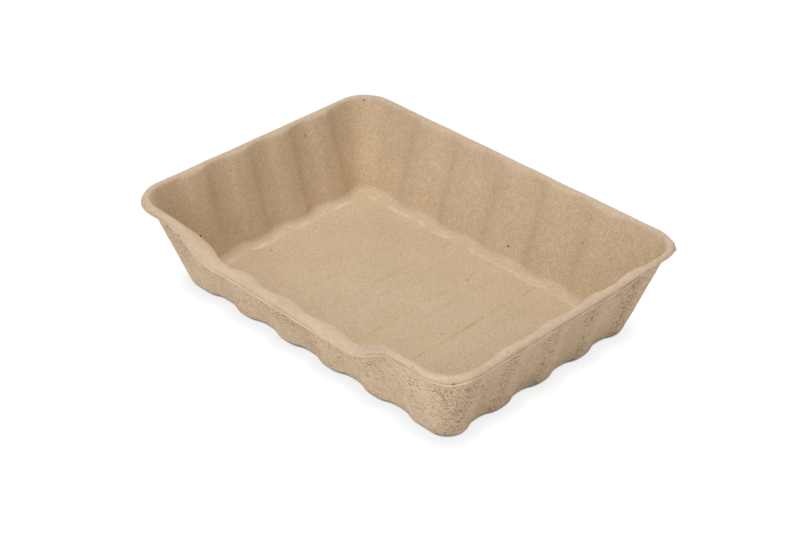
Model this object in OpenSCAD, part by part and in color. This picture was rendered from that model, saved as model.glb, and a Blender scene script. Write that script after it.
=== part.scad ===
// Moulded pulp litter tray: one fluted shell with a rolled rim and a lowered entry.
// Long side along X, entry on the -Y side, foot on Z = 0, origin at the middle of the foot.

/* [Foot] */
// Length of the foot, over the outer lobes
foot_length = 361; // [320:1:420]
// Width of the foot, over the outer lobes
foot_width = 248; // [236:1:320]
// Corner radius of the foot in plan
foot_corner = 20; // [12:1:30]
// Rounding between the foot and the wall, outside
foot_round = 7; // [4:0.5:10]

/* [Wall] */
// Height of the rim above the foot
tray_height = 95; // [80:1:120]
// Outward lean of the wall, in degrees
wall_lean = 17.7; // [10:0.1:25]
// Thickness of the pulp wall
wall = 3; // [2:0.1:4]
// Thickness of the pulp floor
floor_thickness = 3; // [2.4:0.1:4]
// Rounding between the wall and the floor, inside
floor_round = 9; // [5:0.5:12]

/* [Flutes] */
// Flutes pressed into each long side
long_flutes = 5; // [3:1:5]
// Spacing of the flutes on the long sides
long_pitch = 58.5; // [50:0.5:62]
// Flutes pressed into each short side
short_flutes = 4; // [2:1:4]
// Spacing of the flutes on the short sides
short_pitch = 54.5; // [44:0.5:58]
// How deep a flute goes in
flute_depth = 5; // [2:0.5:7]
// Softness of a flute's shoulders, where a small value is square
flute_softness = 0.8; // [0.4:0.1:2]
// Height at which the flutes begin to fade
flute_fade_height = 70; // [40:1:78]
// Part of the flute's depth that is left at the rim
flute_at_rim = 0.7; // [0.3:0.05:1]

/* [Rim] */
// Corner radius of the rim in plan
rim_corner = 32; // [20:1:50]
// Radius of the rounded ridge on top of the rim
ridge_radius = 4; // [3:0.25:6]
// How far the lip reaches out from the ridge
lip_out = 5.5; // [4.5:0.25:9]
// How far the lip hangs down from the ridge
lip_drop = 5; // [4.5:0.25:9]
// Height of the fold under the ridge, below the ridge's top
fold_drop = 3.8; // [3.5:0.1:4.5]

/* [Entry] */
// Width of the entry, between the middles of its slopes
entry_width = 237; // [140:1:260]
// How far the entry lowers the rim
entry_depth = 25.5; // [10:0.5:45]
// Length of the slope at each end of the entry
entry_slope = 58; // [30:1:70]
// Sideways place of the entry's middle
entry_offset = -1.5; // [-15:0.5:15]
// Extra reach and drop of the lip along the entry
entry_lip = 2.2; // [0:0.2:4]
// Extra drop of the lip on the left slope, where it flares
slope_lip = 9; // [0:0.5:10]

/* [Floor channels] */
// Shallow channels pressed across the floor
channels = 6; // [2:1:6]
// Spacing of the channels
channel_pitch = 56.5; // [50:0.5:60]
// Width of a channel
channel_width = 18; // [10:1:26]
// Depth of a channel
channel_depth = 0.7; // [0.4:0.1:1.2]
// Length of the sloping side of a channel
channel_side = 1.5; // [0.5:0.25:3]
// Distance from a channel's end to the rounding of the floor
channel_margin = 4; // [2:1:12]

/* [Smoothness] */
// Steps along a long side
long_steps = 58; // [40:1:58]
// Steps along a short side
short_steps = 36; // [24:1:36]
// Steps round a corner
corner_steps = 7; // [4:1:7]

/* [Hidden] */
half_length = foot_length / 2;
half_width = foot_width / 2;
lean = tan(wall_lean);
// Angle on the ridge at which its round top runs into the lip
lip_angle = 35;
// Share of the flute's depth that shows along the top of the ridge
ridge_wave = 0.5;
// How far the channel cutters reach above the floor
cut_above = 1;

// Smooth rise from 0 to 1
function rise(t) = let (c = min(1, max(0, t))) c * c * (3 - 2 * c);

// Plan of the tray as a walk round it, one entry a step: the share of the straight half length,
// the share of the straight half width, then the outward direction
function straight(from, to, dir, steps) =
    [for (k = [0 : steps - 1]) concat(from + (to - from) * k / steps, dir)];
function corner(place, start) =
    [for (k = [0 : corner_steps - 1]) let (t = start + 90 * k / corner_steps)
        [place[0], place[1], cos(t), sin(t)]];
WALK = concat(
    straight([1, -1], [1, 1], [1, 0], short_steps), corner([1, 1], 0),
    straight([1, 1], [-1, 1], [0, 1], long_steps), corner([-1, 1], 90),
    straight([-1, 1], [-1, -1], [-1, 0], short_steps), corner([-1, -1], 180),
    straight([-1, -1], [1, -1], [0, -1], long_steps), corner([1, -1], 270));
count = len(WALK);

// Depth of a flute, from 0 on a lobe to 1, at a distance u from the middle of the side
function flute(u, pitch, flutes) =
    let (turn = 360 * u / pitch + (flutes % 2 == 0 ? 180 : 0), c = cos(turn))
    u > flutes * pitch / 2 ? 0
        : 0.5 + 0.5 * c * sqrt((1 + pow(flute_softness, 2)) / (c * c + pow(flute_softness, 2)));

// Corner radius and outward shift of the wall at a height, both seen at the outside of the foot
function corner_at(z) = foot_corner + (rim_corner - foot_corner) * z / tray_height;
function shift_at(z) = z * lean - corner_at(z);

// The flutes run straight up, so each keeps its place along the side at every height
function flute_of(w, z) =
    abs(w[3]) > abs(w[2])
        ? flute(abs(w[0]) * (half_length + shift_at(z)) + corner_at(z) * acos(abs(w[3])) * PI / 180,
            long_pitch, long_flutes)
        : flute(abs(w[1]) * (half_width + shift_at(z)) + corner_at(z) * acos(abs(w[2])) * PI / 180,
            short_pitch, short_flutes);

// Part of the flute's depth that is left at a height
function fade(z) =
    1 - (1 - flute_at_rim) * rise((z - flute_fade_height) / (tray_height - flute_fade_height));

// Height of the rim along the front, and its slope
function entry(x) =
    1 - rise((abs(x - entry_offset) - entry_width / 2 + entry_slope / 2) / entry_slope);
function rim_x(w) = w[0] * (half_length + tray_height * lean - rim_corner);
function rim_height(x) = tray_height - entry_depth * entry(x);
ENTRY = [for (w = WALK) w[3] == -1 ? entry(rim_x(w)) : 0];
TOP = [for (e = ENTRY) tray_height - entry_depth * e];
SLOPE = [for (w = WALK) w[3] == -1 ? atan((rim_height(rim_x(w) + 1) - rim_height(rim_x(w) - 1)) / 2) : 0];

// Point of step i at an outward distance d from the foot's outline and a height z. The corners
// open from the foot's radius to the rim's, and wave is the share of the flute that shows.
function at(i, d, z, wave, along = 0) =
    let (w = WALK[i],
        r = corner_at(z) + d - z * lean,
        in = wave == 0 ? 0 : flute_depth * flute_of(w, z) * fade(z) * wave,
        big = r - in)
    [w[0] * (half_length + d - r) + w[2] * big + along,
        w[1] * (half_width + d - r) + w[3] * big, z];

// Section of the wall as rings, up the outside, over the rim and down the inside
foot_centre = foot_round * (lean - 1 / cos(wall_lean));
function foot_point(turn) =
    [foot_centre + foot_round * cos(turn), foot_round + foot_round * sin(turn)];
floor_centre_z = floor_thickness + floor_round;
floor_centre = floor_centre_z * lean - (wall + floor_round) / cos(wall_lean);
function floor_point(turn) =
    [floor_centre + floor_round * cos(turn), floor_centre_z + floor_round * sin(turn)];
function ridge_point(i, turn) =
    let (z = TOP[i] - ridge_radius)
    [z * lean + (ridge_radius - wall) / cos(wall_lean) + ridge_radius * cos(turn),
        z + ridge_radius * sin(turn)];
function reach(i) = lip_out + entry_lip * ENTRY[i];
function hang(i) = lip_drop + entry_lip * ENTRY[i] + slope_lip * max(0, -sin(SLOPE[i]));
lip_lean = atan2(lip_drop, lip_out);

OUTSIDE = concat(
    [for (turn = [-90, -66, -42, -wall_lean]) let (p = foot_point(turn))
        [for (i = [0 : count - 1]) at(i, p[0], p[1], 1)]],
    [for (t = [0.3, 0.6, 0.83, 1])
        [for (i = [0 : count - 1])
            let (low = foot_point(-wall_lean)[1], z = low + t * (TOP[i] - fold_drop - low))
            at(i, z * lean, z, 1)]]);
LIP = [for (under = [1, 0])
    [for (i = [0 : count - 1])
        let (drop = hang(i) * cos(SLOPE[i]) + under * wall * cos(lip_lean))
        at(i, TOP[i] * lean + reach(i) - under * wall * sin(lip_lean), TOP[i] - drop, 0,
            hang(i) * sin(SLOPE[i]))]];
RIDGE = [for (turn = [lip_angle, 62, 90, 125, 180 - wall_lean])
    [for (i = [0 : count - 1])
        let (p = ridge_point(i, turn), wave = turn > 90 ? ridge_wave + (1 - ridge_wave)
            * (turn - 90) / (90 - wall_lean) : ridge_wave * (turn - lip_angle) / (90 - lip_angle))
        at(i, p[0], p[1], wave)]];
INSIDE = concat(
    [for (t = [0.83, 0.6, 0.3])
        [for (i = [0 : count - 1])
            let (low = floor_point(-wall_lean)[1],
                z = low + t * (ridge_point(i, 180 - wall_lean)[1] - low))
            at(i, z * lean - wall / cos(wall_lean), z, 1)]],
    [for (turn = [-wall_lean, -38, -62, -90]) let (p = floor_point(turn))
        [for (i = [0 : count - 1]) at(i, p[0], p[1], 1)]]);
RINGS = concat(OUTSIDE, LIP, RIDGE, INSIDE);

module shell() {
    last = len(RINGS) - 1;
    points = concat([for (r = RINGS) each r], [[0, 0, 0], [0, 0, floor_thickness]]);
    foot_middle = len(points) - 2;
    floor_middle = len(points) - 1;
    sides = [for (k = [0 : last - 1], i = [0 : count - 1])
        let (j = (i + 1) % count, a = k * count + i, b = k * count + j, c = a + count, d = b + count)
        each [[a, c, b], [b, c, d]]];
    caps = [for (i = [0 : count - 1])
        let (j = (i + 1) % count)
        each [[i, j, foot_middle], [last * count + j, last * count + i, floor_middle]]];
    polyhedron(points, concat(sides, caps), convexity = 6);
}

// The channels cross the floor between the flutes of the long sides
module channels_cut() {
    half = half_width + floor_centre - flute_depth - channel_margin;
    for (k = [0 : channels - 1])
        translate([(k - (channels - 1) / 2) * channel_pitch, half, floor_thickness])
            rotate([90, 0, 0])
                linear_extrude(2 * half)
                    polygon([
                        [-channel_width / 2 + channel_side, -channel_depth],
                        [channel_width / 2 - channel_side, -channel_depth],
                        [channel_width / 2, 0], [channel_width / 2, cut_above],
                        [-channel_width / 2, cut_above], [-channel_width / 2, 0]]);
}

module tray() {
    color("tan")
        difference() {
            shell();
            channels_cut();
        }
}

tray();
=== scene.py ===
import itertools
import math

import bpy
import numpy as np
from mathutils import Matrix, Vector


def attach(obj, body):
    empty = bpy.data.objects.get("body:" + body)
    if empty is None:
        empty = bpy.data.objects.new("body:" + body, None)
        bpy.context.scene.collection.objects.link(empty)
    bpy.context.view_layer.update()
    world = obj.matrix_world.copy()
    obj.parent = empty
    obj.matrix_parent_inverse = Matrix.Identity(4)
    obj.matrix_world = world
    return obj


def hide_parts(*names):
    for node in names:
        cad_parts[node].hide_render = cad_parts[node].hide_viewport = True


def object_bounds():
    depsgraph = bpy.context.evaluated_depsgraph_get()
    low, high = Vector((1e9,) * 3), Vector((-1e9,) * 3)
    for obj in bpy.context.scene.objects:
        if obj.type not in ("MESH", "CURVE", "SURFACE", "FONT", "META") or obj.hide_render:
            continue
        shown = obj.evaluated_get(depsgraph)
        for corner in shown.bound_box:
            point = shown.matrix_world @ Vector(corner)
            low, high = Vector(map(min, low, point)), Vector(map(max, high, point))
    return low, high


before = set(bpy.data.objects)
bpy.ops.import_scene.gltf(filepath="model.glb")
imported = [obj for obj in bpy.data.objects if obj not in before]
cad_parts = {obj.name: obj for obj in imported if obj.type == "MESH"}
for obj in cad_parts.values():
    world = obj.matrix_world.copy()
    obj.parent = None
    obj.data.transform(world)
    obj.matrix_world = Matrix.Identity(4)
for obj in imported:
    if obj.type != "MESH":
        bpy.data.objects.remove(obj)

cad_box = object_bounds()
scene = bpy.context.scene
MM = 0.001

# The tray's plan. The tray is pressed from wet paper pulp over a wire mould and dried, in one
# piece. Its plan is a rounded rectangle whose corners open from the foot to the rim, walked round
# once from the middle of the front right corner, with the front at -Y. The mesh is made in
# millimetres, and MM turns it into metres.
FOOT_LENGTH = 361
FOOT_WIDTH = 248
FOOT_CORNER = 20
RIM_CORNER = 32
TRAY_HEIGHT = 95
WALL_LEAN = math.radians(17.7)
WALL = 3
FLOOR_THICKNESS = 3
LONG_STEPS = 186
SHORT_STEPS = 118
CORNER_STEPS = 30

lean = math.tan(WALL_LEAN)
half_length = FOOT_LENGTH / 2
half_width = FOOT_WIDTH / 2


def smooth_rise(t):
    """Smooth step: c*c*(3 - 2*c), where c is t kept between 0 and 1."""
    c = np.clip(t, 0, 1)
    return c * c * (3 - 2 * c)


def straight(start, end, direction, steps):
    """Points along one side: start + (end - start)*k/steps, with the side's outward direction."""
    share = np.arange(steps)[:, None] / steps
    along = np.array(start) + (np.array(end) - np.array(start)) * share
    return np.hstack([along, np.tile(direction, (steps, 1))])


def corner(centre, start):
    """Points round one corner: one centre, with the outward direction turning by 90 degrees."""
    turn = np.radians(start + 90 * np.arange(CORNER_STEPS) / CORNER_STEPS)
    return np.stack([np.full(CORNER_STEPS, centre[0]), np.full(CORNER_STEPS, centre[1]),
                     np.cos(turn), np.sin(turn)], axis=1)


walk = np.vstack([
    straight((1, -1), (1, 1), (1, 0), SHORT_STEPS), corner((1, 1), 0),
    straight((1, 1), (-1, 1), (0, 1), LONG_STEPS), corner((-1, 1), 90),
    straight((-1, 1), (-1, -1), (-1, 0), SHORT_STEPS), corner((-1, -1), 180),
    straight((-1, -1), (1, -1), (0, -1), LONG_STEPS), corner((1, -1), 270)])
walk = np.roll(walk, CORNER_STEPS // 2, axis=0)
share_x, share_y, out_x, out_y = walk.T
count = len(walk)
on_front = (share_y < 0) & (np.abs(out_y) > 0.999)

# The tray's flutes. Five are pressed into each long side and four into each short one. They run
# straight up from the foot to the rim, where they fade, and show inside and outside.
LONG_FLUTES, LONG_PITCH = 5, 58.5
SHORT_FLUTES, SHORT_PITCH = 4, 54.5
BACK_SHIFT = 4.5
FLUTE_DEPTH = 5
FLUTE_SOFTNESS = 0.8
FLUTE_FADE_HEIGHT = 70
FLUTE_AT_RIM = 0.7


def flute_wave(along, pitch, flutes):
    """0 on a lobe and 1 in a flute: half of 1 + a cosine of the place along the side, whose peaks
    are squared off by dividing it by the root of its own square plus the softness squared."""
    turn = 2 * math.pi * along / pitch + (math.pi if flutes % 2 == 0 else 0)
    wave = np.cos(turn)
    square = np.sqrt((1 + FLUTE_SOFTNESS ** 2) / (wave ** 2 + FLUTE_SOFTNESS ** 2))
    return np.where(along > flutes * pitch / 2, 0, 0.5 + 0.5 * wave * square)


def corner_at(height):
    """Corner radius of the outer skin at a height, growing from the foot's to the rim's."""
    return FOOT_CORNER + (RIM_CORNER - FOOT_CORNER) * height / TRAY_HEIGHT


def flutes_at(height):
    """0 on a lobe and 1 in a flute, by the place along the side: the share of the straight part's
    length plus the arc along the corner. The place is taken at the height itself."""
    radius = corner_at(height)
    out = height * lean - radius
    long_arc, short_arc = np.arccos(np.abs(out_y).clip(0, 1)), np.arccos(np.abs(out_x).clip(0, 1))
    long_place = share_x * (half_length + out) + np.sign(share_x) * radius * long_arc
    long_place = long_place - np.where(share_y > 0, BACK_SHIFT, 0)
    short_place = share_y * (half_width + out) + np.sign(share_y) * radius * short_arc
    return np.where(np.abs(out_y) > np.abs(out_x),
                    flute_wave(np.abs(long_place), LONG_PITCH, LONG_FLUTES),
                    flute_wave(np.abs(short_place), SHORT_PITCH, SHORT_FLUTES))


def flute_left(height):
    """Share of the flute's depth left at a height: 1 below, easing to FLUTE_AT_RIM at the rim."""
    part = (height - FLUTE_FADE_HEIGHT) / (TRAY_HEIGHT - FLUTE_FADE_HEIGHT)
    return 1 - (1 - FLUTE_AT_RIM) * smooth_rise(part)


# The tray's entry. The front wall is lowered for the cat, so the rim runs down a slope, along the
# low stretch and up again. The lip is wider there, and flares out on the left slope.
ENTRY_WIDTH = 237
ENTRY_DEPTH = 25.5
ENTRY_SLOPE = 58
ENTRY_OFFSET = -1.5
ENTRY_LIP = 2.2
SLOPE_LIP = 9


def entry_share(x):
    """1 along the low stretch of the entry and 0 beyond its slopes, with a smooth step between."""
    part = (np.abs(x - ENTRY_OFFSET) - ENTRY_WIDTH / 2 + ENTRY_SLOPE / 2) / ENTRY_SLOPE
    return 1 - smooth_rise(part)


rim_x = share_x * (half_length + TRAY_HEIGHT * lean - RIM_CORNER)
entry = np.where(on_front, entry_share(rim_x), 0)
top = TRAY_HEIGHT - ENTRY_DEPTH * entry
rim_slope = -ENTRY_DEPTH * (entry_share(rim_x + 1) - entry_share(rim_x - 1)) / 2
slope = np.where(on_front, np.arctan(rim_slope), 0)

# The tray's section. It runs up the outside, under the fold into the lip, over the round ridge
# and down the inside to the floor. The pulp is the same thickness all the way.
FOOT_ROUND = 7
FLOOR_ROUND = 9
RIDGE_RADIUS = 4
LIP_OUT = 5.5
LIP_DROP = 5
FOLD_DROP = 3.8
LIP_ANGLE = math.radians(35)
RIDGE_WAVE = 0.5
LIP_LEAN = math.atan2(LIP_DROP, LIP_OUT)
LIP_EDGE_STEPS = 5
WALL_RINGS = 20
GROOVE_DEPTH = 0.6
GROOVE_FADE = 1.6
CORNER_PULL = 2.6
# Changes of the lip's reach and hang at the front right corner, at the back right corner and at
# the back end of the right side.
FRONT_CORNER_HANG = 2.6
BACK_CORNER_REACH = 1.4
BACK_CORNER_HANG = 0.6
RIGHT_END_REACH = -1.2
RIGHT_END_HANG = -3.0
# Steps of the lip's top face: the share of the way to the ridge, and of the groove's depth there.
LIP_FACE = ((0.1, 0), (0.19, 0.5), (0.26, 1), (0.33, 0.5), (0.42, 0), (0.6, 0.35), (0.68, 0), (0.84, 0))


def place(distance, height, wave, along=0.0):
    """Points of one ring: the plan pushed out by distance at a height, and in by the flute's
    depth there. Wave is the share of the flutes that shows."""
    radius = corner_at(height) + distance - height * lean
    big = radius - FLUTE_DEPTH * flutes_at(height) * flute_left(height) * wave
    x = share_x * (half_length + distance - radius) + out_x * big + along
    y = share_y * (half_width + distance - radius) + out_y * big
    return np.stack([x, y, np.broadcast_to(height, x.shape)], axis=1)


def arc(distance, height, radius, turn):
    """Distance and height of a point on a round part of the section, at an angle from outward."""
    return distance + radius * math.cos(turn), height + radius * math.sin(turn)


def toward_corner(side_x, side_y, sharpness):
    """1 where the plan faces the middle of one corner, falling off on both sides of it: the cosine
    of the angle from the corner's middle, raised to the sharpness."""
    return np.maximum((side_x * out_x + side_y * out_y) / math.sqrt(2), 0) ** sharpness


foot_centre = FOOT_ROUND * (lean - 1 / math.cos(WALL_LEAN))
floor_centre_height = FLOOR_THICKNESS + FLOOR_ROUND
floor_centre = floor_centre_height * lean - (WALL + FLOOR_ROUND) / math.cos(WALL_LEAN)
inside_gap = WALL / math.cos(WALL_LEAN)
ridge_height = top - RIDGE_RADIUS
ridge_distance = ridge_height * lean + (RIDGE_RADIUS - WALL) / math.cos(WALL_LEAN)

# The front left corner of the wall is rounder than the others, inside and outside.
pull = CORNER_PULL * toward_corner(-1, -1, 8)
rings = []
for turn in np.linspace(-math.pi / 2, -WALL_LEAN, 8):
    distance, height = arc(foot_centre, FOOT_ROUND, FOOT_ROUND, turn)
    rings.append(place(distance - pull, height, 1))
outer_low = FOOT_ROUND - FOOT_ROUND * math.sin(WALL_LEAN)
for share in np.arange(1, WALL_RINGS + 1) / WALL_RINGS:
    height = outer_low + share * (top - FOLD_DROP - outer_low)
    rings.append(place(height * lean - pull, height, 1))
fold_ring = len(rings)

# The lip's edge is a half round of the pulp's thickness, turned with the lip. The lip hangs
# deeper at the front right corner, reaches further at the back right one, and is narrower and
# shallower along the back end of the right side.
front_corner = toward_corner(1, -1, 12)
back_corner = toward_corner(1, 1, 10)
rim_y = share_y * (half_width + TRAY_HEIGHT * lean - RIM_CORNER)
right_end = smooth_rise((rim_y - 60) / 50) * smooth_rise((out_x - 0.72) / 0.2)
falling = np.maximum(-np.sin(slope), 0)
reach = LIP_OUT + ENTRY_LIP * entry + BACK_CORNER_REACH * back_corner + RIGHT_END_REACH * right_end
hang = LIP_DROP + ENTRY_LIP * entry + SLOPE_LIP * falling
hang = hang + FRONT_CORNER_HANG * front_corner + BACK_CORNER_HANG * back_corner
hang = hang + RIGHT_END_HANG * right_end
lip_round = WALL / 2
for share in np.linspace(0, 1, LIP_EDGE_STEPS + 1):
    turn = math.pi * share
    under = 0.5 + 0.5 * math.cos(turn)
    bulge = lip_round * 0.5 * (math.sin(turn) - 1)
    drop = hang * np.cos(slope) + under * WALL * math.cos(LIP_LEAN) + bulge * math.sin(LIP_LEAN)
    distance = top * lean + reach - under * WALL * math.sin(LIP_LEAN) + bulge * math.cos(LIP_LEAN)
    rings.append(place(distance, top - drop, 0, (hang + bulge) * np.sin(slope)))
groove_ring = len(rings) + 2

# A thin groove runs along the lip just above its edge, and leaves a bead below it. It fades on the
# left slope, and is missing on the right half of the low stretch.
groove = 1 - smooth_rise((rim_x - 15) / 45) * smooth_rise((118 - rim_x) / 12) * on_front
groove = groove * (1 - GROOVE_FADE * falling)
ridge_start = arc(ridge_distance, ridge_height, RIDGE_RADIUS, LIP_ANGLE)
lip_top = rings[-1]
ridge_foot = place(ridge_start[0], ridge_start[1], 0)
into_lip = np.stack([-out_x, -out_y, np.full(count, -1.0)], axis=1) / math.sqrt(2)
for share, sink in LIP_FACE:
    face = lip_top + (ridge_foot - lip_top) * share
    rings.append(face + into_lip * (GROOVE_DEPTH * sink * groove)[:, None])
for turn in np.linspace(LIP_ANGLE, math.pi - WALL_LEAN, 12):
    distance, height = arc(ridge_distance, ridge_height, RIDGE_RADIUS, turn)
    rise = RIDGE_WAVE * (turn - LIP_ANGLE) / (math.pi / 2 - LIP_ANGLE)
    fall = RIDGE_WAVE + (1 - RIDGE_WAVE) * (turn - math.pi / 2) / (math.pi / 2 - WALL_LEAN)
    rings.append(place(distance, height, min(rise, fall) if turn < math.pi / 2 else fall))
ridge_end_ring = len(rings)

# Inside, the wall runs down to the rounding that leads into the floor.
inner_top = ridge_height + RIDGE_RADIUS * math.sin(WALL_LEAN)
inner_low = floor_centre_height - FLOOR_ROUND * math.sin(WALL_LEAN)
for share in np.arange(WALL_RINGS - 1, 0, -1) / WALL_RINGS:
    height = inner_low + share * (inner_top - inner_low)
    rings.append(place(height * lean - inside_gap - pull * (1 - share), height, 1))
for turn in np.linspace(-WALL_LEAN, -math.pi / 2, 9):
    distance, height = arc(floor_centre, floor_centre_height, FLOOR_ROUND, turn)
    rings.append(place(distance - pull, height, 1))
rings = np.array(rings)
ring_count = len(rings)

# The tray's floor. Inside, a grid spans the ring at the end of the floor's rounding. Six shallow
# channels cross it between the flutes of the long sides, with a soft step at their edges.
CHANNELS = 6
CHANNEL_PITCH = 56.5
CHANNEL_WIDTH = 18
CHANNEL_DEPTH = 0.7
CHANNEL_SIDE = 3
CHANNEL_END = 10


def grid_between(ring):
    """Coons patch over a closed ring: the blend of its right and left sides plus the blend of its
    front and back sides, less the blend of its four corners."""
    across, deep = LONG_STEPS + CORNER_STEPS, SHORT_STEPS + CORNER_STEPS
    loop = np.vstack([ring, ring[:1]])
    right = loop[:deep + 1]
    back = loop[deep:deep + across + 1]
    left = loop[deep + across:2 * deep + across + 1][::-1]
    front = loop[2 * deep + across:][::-1]
    s = ((front[0, 0] - front[:, 0]) / (front[0, 0] - front[-1, 0]))[None, :, None]
    t = ((right[:, 1] - right[0, 1]) / (right[-1, 1] - right[0, 1]))[:, None, None]
    sides = (1 - s) * right[:, None] + s * left[:, None]
    ends = (1 - t) * front[None] + t * back[None]
    corners = ((1 - s) * (1 - t) * right[0] + (1 - s) * t * right[-1]
               + s * (1 - t) * left[0] + s * t * left[-1])
    return sides + ends - corners


floor = grid_between(rings[-1])
rows, columns = floor.shape[:2]
inside = floor[1:-1, 1:-1].reshape(-1, 3)
from_middle = np.abs((inside[:, 0] / CHANNEL_PITCH + 0.5 * (CHANNELS - 1)) % 1 - 0.5)
from_middle = (0.5 - from_middle) * CHANNEL_PITCH
channel_end = half_width + floor_centre - FLUTE_DEPTH
channel = smooth_rise((CHANNEL_WIDTH / 2 + CHANNEL_SIDE / 2 - from_middle) / CHANNEL_SIDE)
channel *= smooth_rise((channel_end - np.abs(inside[:, 1])) / CHANNEL_END)
channel *= np.abs(inside[:, 0]) < CHANNELS * CHANNEL_PITCH / 2
inside[:, 2] -= CHANNEL_DEPTH * channel

# The underside is flat: two smaller copies of the foot's outline and a middle point.
foot = rings[0]
under_rings = np.array([foot * (share, share, 1) for share in (0.35, 0.7)])
points = np.vstack([[[0, 0, 0]], under_rings.reshape(-1, 3), rings.reshape(-1, 3), inside])

step = np.arange(count)
after = (step + 1) % count
ring_start = 1 + count * np.arange(len(under_rings) + ring_count)
low, high = ring_start[:-1, None], ring_start[1:, None]
band = np.stack([low + step, low + after, high + after, high + step], axis=-1).reshape(-1, 4)
cap = np.stack([np.zeros(count, int), 1 + after, 1 + step], axis=-1)
last = ring_start[-1]
loop = np.append(last + step, last)
floor_index = np.zeros((rows, columns), int)
floor_index[1:-1, 1:-1] = last + count + np.arange(len(inside)).reshape(rows - 2, columns - 2)
floor_index[:, 0] = loop[:rows]
floor_index[-1] = loop[rows - 1:rows + columns - 1]
floor_index[:, -1] = loop[rows + columns - 2:2 * rows + columns - 2][::-1]
floor_index[0] = loop[2 * rows + columns - 3:][::-1]
patch = np.stack([floor_index[:-1, :-1], floor_index[1:, :-1],
                  floor_index[1:, 1:], floor_index[:-1, 1:]], axis=-1).reshape(-1, 4)
quads = np.vstack([band, patch])


# The pulp's relief. Pulp dries with soft waves, shallow dents and a grainy skin, coarser on the
# outside than inside, and with a few lumps on the right rim. Each kind is given by its height and
# size in millimetres and its seed.
WAVES = ((0.30, 31, 3), (0.16, 13, 4))
GRAIN = ((0.10, 5, 5), (0.07, 2.6, 6))
LUMP_HEIGHT, LUMP_SIZE, LUMP_SEED = 0.6, 9, 7
NOISE_CELLS = 64


def soft_noise(where, size, seed):
    """Smooth random value from -1 to 1: random numbers on the corners of a cubic grid of the
    given size, blended by a smooth step along x, y and z."""
    table = np.random.default_rng(seed).uniform(-1, 1, (NOISE_CELLS,) * 3)
    cell = where / size
    base = np.floor(cell).astype(int)
    part = smooth_rise(cell - base)
    value = np.zeros(len(where))
    for side in itertools.product((0, 1), repeat=3):
        weight = np.prod(np.where(side, part, 1 - part), axis=1)
        i, j, k = ((base + side) % NOISE_CELLS).T
        value += weight * table[i, j, k]
    return value


def outward(where, faces):
    """Unit direction at each point: the sum of the area vectors of the faces around it."""
    a, b, c, d = (where[faces[:, k]] for k in range(4))
    area = np.cross(c - a, d - b)
    total = np.stack([sum(np.bincount(faces[:, k], area[:, axis], len(where)) for k in range(4))
                      for axis in range(3)], axis=1)
    return total / np.maximum(np.linalg.norm(total, axis=1, keepdims=True), 1e-9)


direction = outward(points, quads)
ring_of = np.full(len(points), ring_count)
ring_of[1 + len(under_rings) * count:last + count] = np.repeat(np.arange(ring_count), count)
ring_of[:1 + len(under_rings) * count] = 0
outside = np.clip((fold_ring + 2 - ring_of) / 2.0, 0, 1)
on_rim = (ring_of >= fold_ring) & (ring_of < ridge_end_ring)
x, y, z = points.T
standing = smooth_rise(z / 6)
waves = sum(height * soft_noise(points, size, seed) for height, size, seed in WAVES)
grain = sum(height * soft_noise(points, size, seed) for height, size, seed in GRAIN)
relief = (waves + grain * (0.35 + 0.65 * outside)) * np.where(ring_of >= fold_ring, 0.6, 1)
lumps = np.clip(soft_noise(points, LUMP_SIZE, LUMP_SEED), 0, 1) * smooth_rise((x - 170) / 20)
relief = relief + LUMP_HEIGHT * lumps * on_rim
relief = np.where(z > 0.1, relief, 0) * np.where(outside > 0.5, standing, 1)
points = points + direction * relief[:, None]
points[:, 2] = np.maximum(points[:, 2], 0)
low_corner, high_corner = np.array(cad_box[0]) / MM, np.array(cad_box[1]) / MM
points = np.clip(points, low_corner, high_corner)

# Marks left by the mould, and painted light. Dark lines of painted shade follow some edges of the
# channels, the foot of the inner walls, the lip's groove and the lip's fold. The rounding round the
# floor is painted pale, partly as rubbed wear and partly as a painted highlight, most at the ends
# of the flutes, and the bead below the groove has a painted highlight. Each line on the floor is
# given by its place along X and its strength, and each shaded seam by its ring and strength.
LINE_WIDTH = 1.2
SHADE_LINES = ((76, 1.35), (18.5, 1.05), (36, 0.25), (92, 0.3), (-20, 0.35), (-39, 0.8), (-77, 0.3))
SEAM_SHADES = ((groove_ring, 1.0), (groove_ring - 1, 0.55), (groove_ring + 1, 0.35),
         (groove_ring + 3, 0.15), (fold_ring, 0.9), (fold_ring + 1, 0.5))
BEAD_RINGS = (groove_ring - 3, groove_ring - 2)
on_floor = ring_of >= ring_count - 1
# Painted shade: dark lines along some edges of the floor's channels.
crease_shade = np.zeros(len(points))
wander = x + 1.6 * soft_noise(points, 17, 8) + 0.5 * soft_noise(points, 5, 9)
for place_x, strength in SHADE_LINES:
    crease_shade += strength * np.exp(-((wander - place_x) / LINE_WIDTH) ** 2)
crease_shade *= on_floor * np.clip(0.55 + 0.8 * soft_noise(points, 8, 10), 0, 1) * (np.abs(y) < 112)
groove_here = np.zeros(len(points))
groove_here[1 + len(under_rings) * count:last + count] = np.tile(groove, ring_count)
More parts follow.
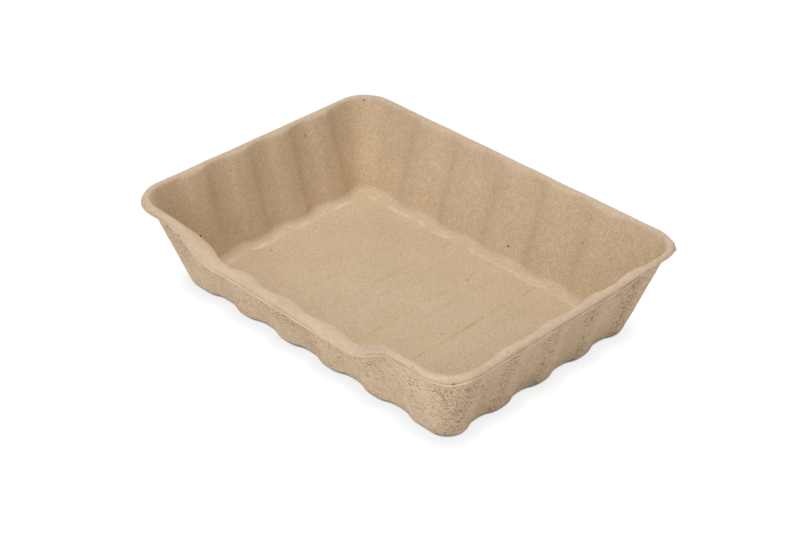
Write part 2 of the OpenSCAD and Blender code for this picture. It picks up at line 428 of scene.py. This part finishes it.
# Painted shade: a dark line in the lip's groove and under the lip's fold.
seam_shade = np.zeros(len(points))
for ring, strength in SEAM_SHADES:
    seam_shade += strength * (ring_of == ring)
seam_shade *= groove_here * np.clip(0.85 + 0.6 * soft_noise(points, 8, 11), 0, 1)
seam_shade *= 1 - 0.5 * smooth_rise((60 - x) / 40) * (y < -130) * (ring_of > fold_ring + 1)
from_wall = np.minimum(half_length + floor_centre - np.abs(x), half_width + floor_centre - np.abs(y))
back_place = x - np.where(y > 0, BACK_SHIFT, 0)
flute_end = np.where(half_width - np.abs(y) < half_length - np.abs(x),
                     flute_wave(np.abs(back_place), LONG_PITCH, LONG_FLUTES),
                     flute_wave(np.abs(y), SHORT_PITCH, SHORT_FLUTES))
ragged = 2.2 * soft_noise(points, 9, 12) + 1.1 * soft_noise(points, 3.5, 13)
# The rounding round the floor is painted pale: partly rubbed wear, partly a painted highlight where
# light catches it.
rubbed_highlight_band = np.exp(-((from_wall - 3.4 - 2.0 * flute_end + ragged) / 2.3) ** 2) * (z < 8)
rubbed_highlight = np.clip(0.1 + 1.0 * soft_noise(points, 12, 14) + 0.8 * soft_noise(points, 4, 15), 0, 1)
scuff_and_highlight = np.clip(0.12 + 0.28 * flute_end + 0.8 * rubbed_highlight, 0, 1)
scuff_and_highlight = rubbed_highlight_band * (ring_of > ridge_end_ring) * scuff_and_highlight
# Painted highlight: the bead below the lip's groove is painted pale.
bead = np.isin(ring_of, BEAD_RINGS)
scuff_and_highlight += bead * groove_here * 0.25 * np.clip(0.5 + 1.2 * soft_noise(points, 14, 16), 0, 1)
# Painted shade at the foot of the inner walls where they meet the floor, strongest at the left end.
wall_base_shade = np.exp(-((z - 8.5 + 0.5 * ragged) / 3.6) ** 2) * (ring_of > ridge_end_ring)
crease_shade += wall_base_shade * np.where(x < -half_length + 20, 0.42, 0.20)

# The outside is most pitted on one flank of each flute of the right side, at the front right
# corner, in one place on the front and under the front's lip. On the flutes' flanks and under the
# lip, the extra pits and brown are also painted shade.
flank_pits_and_shade = np.clip(np.cos(2 * math.pi * (y - 43.5) / SHORT_PITCH), 0, 1) ** 2 * (x > 160)
corner_pits = np.exp(-((x - 192) ** 2 + (y + 137) ** 2) / 16 ** 2)
front_pits = 0.7 * np.exp(-((x - 99) ** 2 + (z - 46) ** 2) / 14 ** 2) * (y < -120)
lip_pits_and_shade = smooth_rise((z - 22) / 16) * (y < -120) * (x < 90)
lip_pits_and_shade = lip_pits_and_shade * np.clip(0.6 + 1.2 * soft_noise(points, 22, 17), 0, 1)
pitted_and_shaded = np.clip(flank_pits_and_shade + corner_pits + front_pits + lip_pits_and_shade, 0, 1) * outside

# The mesh, with the masks as point values that the material reads.
mesh = bpy.data.meshes.new("tray_pulp")
mesh.from_pydata((points * MM).tolist(), [], quads.tolist() + cap.tolist())
mesh.polygons.foreach_set("use_smooth", np.ones(len(mesh.polygons), bool))
for name, value in (("outside", outside), ("rim", on_rim), ("crease_shade", crease_shade), ("seam_shade", seam_shade),
                    ("scuff_and_highlight", scuff_and_highlight), ("pitted_and_shaded", pitted_and_shaded)):
    mask = mesh.attributes.new(name, "FLOAT", "POINT")
    mask.data.foreach_set("value", value.astype(np.float32))
tray = bpy.data.objects.new("tray_pulp", mesh)
scene.collection.objects.link(tray)

# The pulp itself. Recycled kraft pulp is matte and tan, speckled by fibres of other shades, with a
# few dark bits in it. The outside skin is coarser, with pits, a crack and short dark streaks.
PULP = (0.590, 0.457, 0.312)
PULP_DEEP = (0.420, 0.305, 0.182)
PULP_PALE = (0.740, 0.610, 0.440)
PIT_AND_SHADE = (0.230, 0.148, 0.085)
BIT = (0.045, 0.030, 0.018)
# Place in metres, radius in metres and strength of the single dark bits that stand out.
BITS = (((-0.1856, -0.0955, 0.0335), 0.0012, 1.0), ((0.0228, 0.1255, 0.0181), 0.0011, 0.9),
        ((-0.2021, 0.0604, 0.0787), 0.0011, 0.7), ((0.1074, 0.1359, 0.0560), 0.0011, 0.7),
        ((-0.1991, 0.1409, 0.0914), 0.0012, 0.6), ((-0.1537, -0.0322, 0.0028), 0.0009, 0.7),
        ((0.0204, 0.0702, 0.0024), 0.0014, 0.45), ((-0.0637, -0.0599, 0.0029), 0.0008, 0.5),
        ((0.0667, -0.0141, 0.0030), 0.0010, 0.4), ((-0.1145, 0.1227, 0.0213), 0.0008, 0.4),
        ((0.1087, 0.1435, 0.0804), 0.0010, 0.35), ((-0.0377, -0.0261, 0.0029), 0.0008, 0.35),
        ((-0.1819, -0.0309, 0.0299), 0.0009, 0.4), ((-0.1838, -0.0541, 0.0203), 0.0009, 0.35),
        ((0.1077, -0.0249, 0.0030), 0.0009, 0.4), ((0.1701, -0.1573, 0.0935), 0.0011, 0.35),
        ((0.2057, -0.1457, 0.0892), 0.0012, 0.6), ((-0.1367, -0.1580, 0.0840), 0.0013, 0.45),
        ((-0.0806, -0.1377, 0.0441), 0.0013, 0.45), ((0.0366, -0.1266, 0.0090), 0.0009, 0.5),
        ((0.0994, -0.1380, 0.0483), 0.0012, 0.5), ((0.1927, -0.0648, 0.0425), 0.0012, 0.45),
        ((0.2053, -0.0017, 0.0775), 0.0013, 0.45), ((0.1920, 0.0964, 0.0417), 0.0012, 0.45),
        ((0.1895, 0.0972, 0.0326), 0.0013, 0.45), ((0.1976, 0.0432, 0.0586), 0.0012, 0.4))
# The crack at the front right corner, as the places that it joins.
CRACK = ((0.1850, -0.1462, 0.0740), (0.1861, -0.1431, 0.0681), (0.1885, -0.1400, 0.0640),
         (0.1886, -0.1368, 0.0575), (0.1903, -0.1342, 0.0530))
CRACK_WIDTH = 0.0005
# How the outside, the rim and the inner walls differ in tone from the floor.
OUTSIDE_TINT = (1.03, 1.015, 1.04)
RIM_TINT = (0.99, 0.98, 1.035)
INNER_TINT = (0.98, 0.96, 0.935)
STAIN_AND_SHADE = (0.500, 0.330, 0.205)
# Fine pale scratches on the floor near the right side, and their spacing.
SCRATCHED = (0.106, 0.048, 0.003)
SCRATCH_PITCH = 0.0030
# Scales of the clouds: how many of them go into a metre.
MOTTLE_SCALE = 24
ROUGH_SCALE = 30
STAIN_SCALE = 38
BIT_SCALE = 70
BLOTCH_SCALE = 170
STREAK_SCALE = 420
FIBRE_SCALE = 620
PIT_SCALE = 720
SPECKLE_SCALE = 820

pulp = bpy.data.materials.new("kraft_pulp")
pulp.use_nodes = True
nodes, links = pulp.node_tree.nodes, pulp.node_tree.links
nodes.clear()


def add(kind, inputs=(), **settings):
    """A node of the material or world being made, which nodes and links belong to. It takes its
    settings by name, and values or links for its inputs."""
    node = nodes.new(kind)
    for name, value in settings.items():
        setattr(node, name, value)
    for socket, value in dict(inputs).items():
        if isinstance(value, bpy.types.NodeSocket):
            links.new(value, node.inputs[socket])
        else:
            node.inputs[socket].default_value = value
    return node


coordinates = add("ShaderNodeTexCoord").outputs["Object"]


def cloud(scale, detail=2.0, rough=0.5):
    """Soft noise on the object's own coordinates, with its middle value at one half."""
    node = add("ShaderNodeTexNoise", {"Vector": coordinates, "Scale": scale, "Detail": detail,
                                      "Roughness": rough})
    return node.outputs["Fac"]


def spread(value, low, high, to_low=0.0, to_high=1.0):
    """The value carried in a straight line from low..high to to_low..to_high, and kept there."""
    node = add("ShaderNodeMapRange", {"Value": value, "From Min": low, "From Max": high,
                                      "To Min": to_low, "To Max": to_high})
    return node.outputs["Result"]


def blend(amount, first, second):
    """The first colour turning into the second as the amount goes from 0 to 1."""
    node = add("ShaderNodeMix", {"Factor": amount}, data_type="RGBA")
    for socket, colour in ((6, first), (7, second)):
        if isinstance(colour, bpy.types.NodeSocket):
            links.new(colour, node.inputs[socket])
        else:
            node.inputs[socket].default_value = (*colour, 1)
    return node.outputs[2]


def combine(kind, first, second):
    """Two values joined by a math node, such as their sum, product or larger one."""
    return add("ShaderNodeMath", {0: first, 1: second}, operation=kind).outputs[0]


def point_value(name):
    """One of the tray's point values, such as the share of outside skin."""
    return add("ShaderNodeAttribute", attribute_name=name).outputs["Fac"]


outside_skin, rim_here, crease_shade_here = map(point_value, ("outside", "rim", "crease_shade"))
seam_shade_here, scuff_and_highlight_here, pitted_and_shaded_here = map(point_value, ("seam_shade", "scuff_and_highlight", "pitted_and_shaded"))
place_now = add("ShaderNodeSeparateXYZ", {0: coordinates}).outputs
on_wall = spread(place_now["Z"], 0.006, 0.016)

# Fibres: a broad mottle, blotches a few millimetres across, which show most on the walls, then
# pale and dark speckle.
mottle = cloud(MOTTLE_SCALE, 3, 0.55)
blotch = cloud(BLOTCH_SCALE, 2, 0.6)
fibre = cloud(FIBRE_SCALE, 2, 0.65)
speckle = cloud(SPECKLE_SCALE, 2, 0.6)
strength = combine("ADD", 0.80, combine("MULTIPLY", on_wall, 0.04))
strength = combine("ADD", strength, combine("MULTIPLY", outside_skin, 0.20))
strength = combine("SUBTRACT", strength, combine("MULTIPLY", rim_here, 0.50))
colour = blend(spread(mottle, 0.38, 0.66, 0.0, 0.20), PULP, PULP_DEEP)
blotch_strength = combine("ADD", 0.05, combine("MULTIPLY", on_wall, 0.15))
colour = blend(combine("MULTIPLY", spread(blotch, 0.46, 0.66), blotch_strength), colour, PULP_DEEP)
colour = blend(combine("MULTIPLY", spread(blotch, 0.46, 0.30), blotch_strength), colour, PULP_PALE)
pale = combine("MULTIPLY", spread(fibre, 0.50, 0.66, 0.0, 0.75), strength)
colour = blend(pale, colour, PULP_PALE)
colour = blend(combine("MULTIPLY", spread(speckle, 0.52, 0.68), strength), colour, PULP_DEEP)
# Brown stains on the outside. The pitted mask adds the same brown, and on the flutes' flanks and under
# the front's lip that brown is painted shade.
stain_and_shade = spread(cloud(STAIN_SCALE, 2, 0.5), 0.52, 0.68, 0.0, 0.28)
stain_and_shade = combine("MULTIPLY", stain_and_shade, outside_skin)
stain_and_shade = combine("MAXIMUM", stain_and_shade, combine("MULTIPLY", pitted_and_shaded_here, 0.22))
colour = blend(stain_and_shade, colour, STAIN_AND_SHADE)

# Pits and streaks on the outside. The streaks are clouds drawn out along the wall.
drawn_out = add("ShaderNodeMapping", {"Vector": coordinates, "Scale": (0.28, 0.28, 1.15)})
streaks = add("ShaderNodeTexNoise", {"Vector": drawn_out.outputs[0], "Scale": STREAK_SCALE,
                                     "Detail": 2.0, "Roughness": 0.6, "Distortion": 0.4})
rough_and_shaded_place = spread(cloud(ROUGH_SCALE, 2, 0.5), 0.46, 0.64, 0.0, 0.7)
# Pits are also denser where shade is painted on the flutes' flanks and under the front's lip.
rough_and_shaded_place = combine("MAXIMUM", rough_and_shaded_place, pitted_and_shaded_here)
pressed = add("ShaderNodeMapping", {"Vector": coordinates, "Scale": (0.6, 0.6, 1.1)})
pits = add("ShaderNodeTexNoise", {"Vector": pressed.outputs[0], "Scale": PIT_SCALE,
                                  "Detail": 2.0, "Roughness": 0.6})
pit = combine("ADD", pits.outputs["Fac"], combine("MULTIPLY", rough_and_shaded_place, -0.10))
pit = combine("MULTIPLY", spread(pit, 0.345, 0.275), outside_skin)
streak = combine("ADD", streaks.outputs["Fac"], combine("MULTIPLY", rough_and_shaded_place, -0.06))
streak = combine("MULTIPLY", spread(streak, 0.335, 0.275, 0.0, 0.9), outside_skin)

# The crack is dark within its width of the nearest of its straight pieces.
crack = 0.0
for crack_start, crack_end in zip(CRACK[:-1], CRACK[1:]):
    along = Vector(crack_end) - Vector(crack_start)
    ahead = add("ShaderNodeVectorMath", {0: coordinates, 1: crack_start}, operation="SUBTRACT")
    part = add("ShaderNodeVectorMath", {0: ahead.outputs[0], 1: along / along.length_squared},
               operation="DOT_PRODUCT")
    reached = add("ShaderNodeVectorMath", {0: along, 3: spread(part.outputs["Value"], 0.0, 1.0)},
                  operation="SCALE")
    away = add("ShaderNodeVectorMath", {0: ahead.outputs[0], 1: reached.outputs[0]},
               operation="DISTANCE")
    piece = spread(away.outputs["Value"], CRACK_WIDTH * 1.5, CRACK_WIDTH * 0.6)
    crack = combine("MAXIMUM", crack, piece)
pit = combine("MAXIMUM", combine("MAXIMUM", pit, streak), combine("MULTIPLY", crack, outside_skin))
colour = blend(combine("MULTIPLY", pit, 0.75), colour, PIT_AND_SHADE)

# Marks of the mould and painted light: painted shade in the creases, at the foot of the inner
# walls, in the lip's groove, under its fold and along the foot's outer edge; pale places that are
# partly rubbed wear and partly painted highlight; and the scratches.
colour = blend(combine("MULTIPLY", crease_shade_here, 0.5), colour, PULP_DEEP)
colour = blend(combine("MULTIPLY", seam_shade_here, 0.9), colour, PIT_AND_SHADE)
# Painted shade: the outer wall darkens towards the foot where it stands on the floor.
foot_shade = combine("MULTIPLY", spread(place_now["Z"], 0.0018, 0.0048, 0.75, 0.0), outside_skin)
colour = blend(foot_shade, colour, PIT_AND_SHADE)
colour = blend(combine("MULTIPLY", scuff_and_highlight_here, 0.85), colour, PULP_PALE)
scratch_turn = combine("MULTIPLY", place_now["Y"], 2 * math.pi / SCRATCH_PITCH)
scratch_wave = add("ShaderNodeMath", {0: scratch_turn}, operation="SINE").outputs[0]
scratch = combine("MULTIPLY", spread(scratch_wave, 0.1, 0.9), spread(fibre, 0.38, 0.50))
near = add("ShaderNodeVectorMath", {0: coordinates, 1: SCRATCHED}, operation="DISTANCE")
scratch = combine("MULTIPLY", scratch, spread(near.outputs["Value"], 0.016, 0.006, 0.0, 0.5))
colour = blend(scratch, colour, PULP_PALE)

# The tone of the skin: pinker outside and on the rim, yellower on the inner walls.
tint = blend(on_wall, (1.0, 1.0, 1.0), INNER_TINT)
tint = blend(outside_skin, tint, OUTSIDE_TINT)
tint = blend(rim_here, tint, RIM_TINT)
toned = add("ShaderNodeMix", {"Factor": 1.0, 6: colour, 7: tint}, data_type="RGBA",
            blend_type="MULTIPLY")
colour = toned.outputs[2]

# Dark bits: small ones strewn about, and the single ones.
strewn = add("ShaderNodeTexVoronoi", {"Vector": coordinates, "Scale": BIT_SCALE})
bit_here = combine("LESS_THAN", strewn.outputs["Distance"], 0.045)
bit_number = add("ShaderNodeSeparateColor", {0: strewn.outputs["Color"]}).outputs[0]
bit_chosen = combine("GREATER_THAN", bit_number, 0.86)
bit_all = combine("MULTIPLY", combine("MULTIPLY", bit_here, bit_chosen), 0.6)
for bit_place, bit_radius, bit_strength in BITS:
    away = add("ShaderNodeVectorMath", {0: coordinates, 1: bit_place}, operation="DISTANCE")
    spot = spread(away.outputs["Value"], bit_radius * 1.2, bit_radius * 0.7, 0.0, bit_strength)
    bit_all = combine("MAXIMUM", bit_all, spot)
colour = blend(bit_all, colour, BIT)

# The grain of the skin as a bump: fibres stand up, and pits and creases sink in.
skin = combine("ADD", combine("MULTIPLY", fibre, 0.5), combine("MULTIPLY", speckle, 0.35))
skin = combine("SUBTRACT", skin, combine("MULTIPLY", pit, 1.2))
skin = combine("SUBTRACT", skin, combine("MULTIPLY", crease_shade_here, 0.7))
bump_strength = combine("SUBTRACT", 0.75, combine("MULTIPLY", rim_here, 0.2))
bump = add("ShaderNodeBump", {"Strength": bump_strength, "Distance": 0.0007, "Height": skin})
shader = add("ShaderNodeBsdfPrincipled", {"Base Color": colour, "Roughness": 0.92,
                                          "Specular IOR Level": 0.18,
                                          "Normal": bump.outputs["Normal"]})
add("ShaderNodeOutputMaterial", {"Surface": shader.outputs["BSDF"]})

mesh.materials.append(pulp)
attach(tray, "root")
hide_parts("tray")

# The floor and backdrop. A white studio sweep: seen directly it is white, with a soft shade
# beside the tray and a thin dark line where it stands, both by ambient occlusion. To the tray it
# is plain white paper that throws light back. LINE_LEFT is the share of the glow left in the line.
SWEEP_REACH = 4.0
SWEEP_WHITE = 0.85
SWEEP_GLOW = 0.98
PAPER_GLOW = 0.12
SHADE_REACH = 0.016
SHADE_DEPTH = 0.16
LINE_REACH = 0.0019
LINE_LEFT = 0.10
FAINT = (0.05, 0.05, 0.05, 1)
WHITE_PAPER = (1, 1, 1, 1)


def seen_directly():
    """1 on rays that come from the camera, straight, off a glossy surface or through glass."""
    ray = add("ShaderNodeLightPath").outputs
    mirrored = combine("MAXIMUM", ray["Is Camera Ray"], ray["Is Glossy Ray"])
    return combine("MAXIMUM", mirrored, ray["Is Transmission Ray"])


sweep_mesh = bpy.data.meshes.new("sweep")
corners = np.array([(-1, -1, 0), (1, -1, 0), (1, 1, 0), (-1, 1, 0)]) * SWEEP_REACH
sweep_mesh.from_pydata(corners.tolist(), [], [(0, 1, 2, 3)])
sweep = bpy.data.objects.new("sweep", sweep_mesh)
scene.collection.objects.link(sweep)
paper = bpy.data.materials.new("white_sweep")
paper.use_nodes = True
nodes, links = paper.node_tree.nodes, paper.node_tree.links
nodes.clear()
paper_white = add("ShaderNodeBsdfDiffuse", {"Color": (SWEEP_WHITE,) * 3 + (1,)})
paper_glow = add("ShaderNodeEmission", {"Color": WHITE_PAPER, "Strength": PAPER_GLOW})
plain = add("ShaderNodeAddShader", {0: paper_white.outputs[0], 1: paper_glow.outputs[0]})
faint = add("ShaderNodeBsdfDiffuse", {"Color": FAINT})
around = add("ShaderNodeAmbientOcclusion", {"Distance": SHADE_REACH}, samples=4)
shade = spread(around.outputs["AO"], 0.45, 1.0, 1.0 - SHADE_DEPTH, 1.0)
close_by = add("ShaderNodeAmbientOcclusion", {"Distance": LINE_REACH}, samples=4)
line = spread(close_by.outputs["AO"], 0.2, 0.62, LINE_LEFT, 1.0)
glow_now = combine("MULTIPLY", combine("MULTIPLY", shade, line), SWEEP_GLOW)
glow = add("ShaderNodeEmission", {"Color": WHITE_PAPER, "Strength": glow_now})
white = add("ShaderNodeAddShader", {0: faint.outputs[0], 1: glow.outputs[0]})
choice = add("ShaderNodeMixShader", {0: seen_directly(), 1: plain.outputs[0], 2: white.outputs[0]})
add("ShaderNodeOutputMaterial", {"Surface": choice.outputs[0]})
sweep_mesh.materials.append(paper)

# The light. Soft lamps all round in a white room: strong ones above, in front and behind on the
# left, a weaker one on the right and a faint one high behind, so that the walls facing right stay
# in half shade. A small one stands near the front right corner. Each is given by its bearing and
# height in degrees, distance and size in metres, power and tone.
WARM = (1.0, 0.96, 0.90)
COOL = (0.97, 1.0, 1.04)
WHITE = (1.0, 1.0, 1.0)
FAR, WIDE = 4.5, 3.2
LAMPS = {"above": (0, 90, FAR, WIDE, 75, WHITE), "front_high": (270, 50, FAR, WIDE, 73, WHITE),
         "front_low": (276, 20, FAR, WIDE, 71, COOL), "back_left": (113, 20, FAR, WIDE, 81, WHITE),
         "right": (0, 45, FAR, WIDE, 52, WARM), "back_high": (90, 50, FAR, WIDE, 20, WHITE),
         "near_corner": (315, 14, 0.9, 0.3, 0.32, WHITE)}
ROOM_LIGHT = 0.02

world = bpy.data.worlds.new("room")
scene.world = world
world.use_nodes = True
nodes, links = world.node_tree.nodes, world.node_tree.links
nodes.clear()
room = add("ShaderNodeBackground", {"Color": WHITE_PAPER, "Strength": ROOM_LIGHT})
backdrop = add("ShaderNodeBackground", {"Color": WHITE_PAPER, "Strength": 1.0})
choice = add("ShaderNodeMixShader", {0: seen_directly(), 1: room.outputs[0],
                                     2: backdrop.outputs[0]})
add("ShaderNodeOutputWorld", {"Surface": choice.outputs[0]})

for name, (bearing, height, distance, size, power, tone) in LAMPS.items():
    bearing, height = math.radians(bearing), math.radians(height)
    toward = Vector((math.cos(bearing) * math.cos(height), math.sin(bearing) * math.cos(height),
                     math.sin(height)))
    lamp_data = bpy.data.lights.new("lamp_" + name, "AREA")
    lamp_data.shape = "DISK"
    lamp_data.size = size
    lamp_data.energy = power
    lamp_data.color = tone
    lamp = bpy.data.objects.new("lamp_" + name, lamp_data)
    lamp.location = toward * distance
    lamp.rotation_euler = toward.to_track_quat("Z", "Y").to_euler()
    scene.collection.objects.link(lamp)

# The camera, at the photograph's angle: it looks down on the front right corner from far off.
CAMERA_YAW = math.radians(45.15)
CAMERA_PITCH = math.radians(33.32)
CAMERA_ROLL = math.radians(0.25)
CAMERA_DISTANCE = 1.6773
CAMERA_TARGET = Vector((8.61, -11.71, 50.47)) * MM
CAMERA_LENS = 80.18
SENSOR_WIDTH = 36

back = Vector((math.sin(CAMERA_YAW) * math.cos(CAMERA_PITCH),
               -math.cos(CAMERA_YAW) * math.cos(CAMERA_PITCH), math.sin(CAMERA_PITCH)))
right = (-back).cross(Vector((0, 0, 1))).normalized()
up = right.cross(-back)
turned_right = right * math.cos(CAMERA_ROLL) + up * math.sin(CAMERA_ROLL)
turned_up = up * math.cos(CAMERA_ROLL) - right * math.sin(CAMERA_ROLL)
camera_data = bpy.data.cameras.new("camera")
camera_data.sensor_fit = "HORIZONTAL"
camera_data.sensor_width = SENSOR_WIDTH
camera_data.lens = CAMERA_LENS
camera_data.clip_end = 20
camera = bpy.data.objects.new("camera", camera_data)
camera.matrix_world = (Matrix.Translation(CAMERA_TARGET + back * CAMERA_DISTANCE)
                       @ Matrix((turned_right, turned_up, back)).transposed().to_4x4())
scene.collection.objects.link(camera)
scene.camera = camera

scene.view_settings.view_transform = "Standard"
